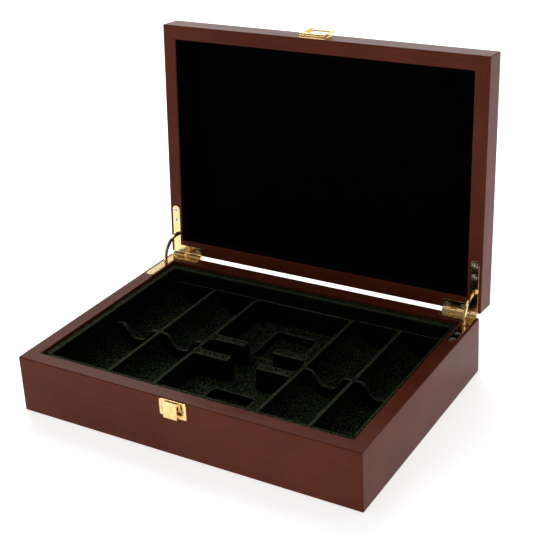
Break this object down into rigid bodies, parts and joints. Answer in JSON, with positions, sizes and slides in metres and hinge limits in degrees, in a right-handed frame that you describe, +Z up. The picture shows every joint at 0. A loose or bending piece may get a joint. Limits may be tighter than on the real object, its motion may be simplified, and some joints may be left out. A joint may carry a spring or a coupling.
{
  "type": "poker chip case",
  "caption": "Hinged wooden box with a flocked tray of half-round chip troughs, card pockets and a dice channel, side-rail hinges with curved stays, and a front hasp latch.",
  "frame": {"origin": "centre of the underside of the base", "axes": "+X along the case's width, to the right when seen from the latch; +Y from the latch to the hinges; +Z up from the underside"},
  "size_m": [0.3, 0.2541, 0.2635],
  "materials": {
    "stained_wood": "satin mahogany stain under lacquer, with eased edges",
    "stained_panel": "satin mahogany stain under lacquer, with faint lengthwise grain",
    "flocked_tray": "short black flock on a formed sheet",
    "velvet_lining": "black velvet",
    "gold_plate": "polished brass plate",
    "gold_screws": "polished brass plate"
  },
  "bodies": {
    "base": {"base_front_rail": "stained_wood", "base_back_rail": "stained_wood", "base_left_rail": "stained_wood", "base_right_rail": "stained_wood", "base_panel": "stained_panel", "tray": "flocked_tray", "right_base_leaf": "gold_plate", "left_base_leaf": "gold_plate", "right_hinge_pin": "gold_plate", "left_hinge_pin": "gold_plate", "catch_plate": "gold_plate", "catch_hook": "gold_plate", "catch_rivet": "gold_plate", "base_hinge_screws": "gold_screws", "catch_screws": "gold_screws"},
    "lid": {"lid_front_rail": "stained_wood", "lid_back_rail": "stained_wood", "lid_left_rail": "stained_wood", "lid_right_rail": "stained_wood", "lid_panel": "stained_panel", "lid_lining": "velvet_lining", "right_lid_leaf": "gold_plate", "left_lid_leaf": "gold_plate", "hasp_plate": "gold_plate", "hasp_pin": "gold_plate", "lid_hinge_screws": "gold_screws", "hasp_screws": "gold_screws"},
    "right_stay": {"right_stay": "gold_plate"},
    "left_stay": {"left_stay": "gold_plate"},
    "hasp_loop": {"hasp_loop": "gold_plate"}
  },
  "joints": [
    {"name": "lid_hinge", "type": "hinge", "parent": "base", "child": "lid", "pos_m": [0, 0.1069, 0.0482], "axis": [1, 0, 0], "range_deg": [0, 94.1]},
    {"name": "right_stay_slide", "type": "hinge", "parent": "base", "child": "right_stay", "pos_m": [0.1437, 0.1069, 0.0482], "axis": [1, 0, 0], "range_deg": [0, 47.05]},
    {"name": "left_stay_slide", "type": "hinge", "parent": "base", "child": "left_stay", "pos_m": [-0.1437, 0.1069, 0.0482], "axis": [1, 0, 0], "range_deg": [0, 47.05]},
    {"name": "hasp_swing", "type": "hinge", "parent": "lid", "child": "hasp_loop", "pos_m": [-0.0029, 0.12443, 0.26199], "axis": [1, 0, 0], "range_deg": [0, 175]}
  ],
  "couplings": [
    {"joint": "right_stay_slide", "follows": "lid_hinge", "ratio": 0.5},
    {"joint": "left_stay_slide", "follows": "lid_hinge", "ratio": 0.5}
  ]
}
